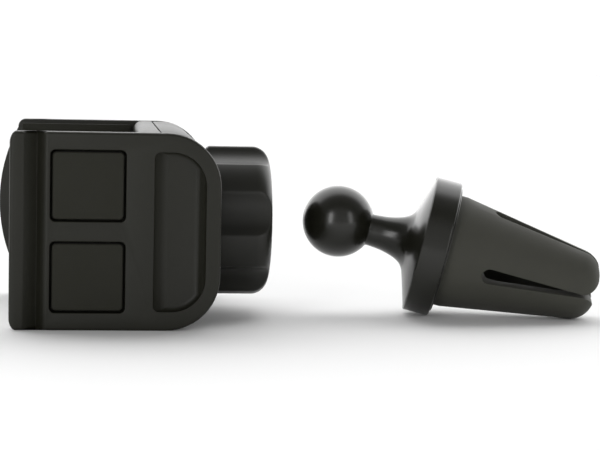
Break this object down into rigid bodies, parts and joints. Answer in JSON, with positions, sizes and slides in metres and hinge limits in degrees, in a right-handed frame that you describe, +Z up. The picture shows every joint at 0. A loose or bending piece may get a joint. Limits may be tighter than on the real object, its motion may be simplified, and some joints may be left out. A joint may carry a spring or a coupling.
{
  "type": "air vent phone holder",
  "caption": "Spring-loaded phone cradle with a six-lobed ball clamp, and a four-prong vent clip on a ball stem lying beside it.",
  "frame": {"origin": "middle of the face that the phone's back rests on, at the height of the socket's axis", "axes": "+X from the phone through the cradle along the ball socket's axis, +Y from the fixed jaw to the sliding jaw, +Z up"},
  "size_m": [0.1434, 0.066, 0.0438],
  "materials": {
    "satin_plastic": "fine satin moulded black plastic",
    "polished_plastic": "smooth semi-gloss black plastic",
    "soft_rubber": "matte black rubber",
    "bright_steel": "bright ground steel",
    "spring_steel": "drawn spring wire"
  },
  "bodies": {
    "cradle": {"front_cover": "satin_plastic", "back_housing": "satin_plastic", "fixed_grip_liner": "soft_rubber", "phone_pad": "soft_rubber", "ball_socket": "satin_plastic", "housing_screw_1": "bright_steel", "housing_screw_2": "bright_steel", "housing_screw_3": "bright_steel", "housing_screw_4": "bright_steel", "return_spring_upper": "spring_steel", "return_spring_lower": "spring_steel"},
    "sliding_jaw": {"sliding_jaw": "satin_plastic", "sliding_grip_liner": "soft_rubber", "guide_rod_upper": "bright_steel", "guide_rod_lower": "bright_steel", "spring_washer_upper": "bright_steel", "spring_washer_lower": "bright_steel"},
    "clamp_knob": {"clamp_knob": "polished_plastic"},
    "vent_clip": {"ball_stud": "polished_plastic", "clip_ring": "polished_plastic", "prong_boot": "soft_rubber", "clip_washer": "bright_steel", "clip_screw": "bright_steel"}
  },
  "joints": [
    {"name": "jaw_slide", "type": "slide", "parent": "cradle", "child": "sliding_jaw", "axis": [0, 1, 0], "range_m": [0, 0.026], "stiffness_N_per_m": 150, "springref_m": -0.02, "deforming": ["return_spring_upper", "return_spring_lower"]},
    {"name": "knob_turn", "type": "hinge", "parent": "cradle", "child": "clamp_knob", "pos_m": [0.0242, 0, 0], "axis": [1, 0, 0], "range_deg": [-90, 270]},
    {"name": "ball_insertion", "type": "slide", "parent": "cradle", "child": "vent_clip", "axis": [-1, 0, 0], "range_m": [0, 0.0246]}
  ]
}
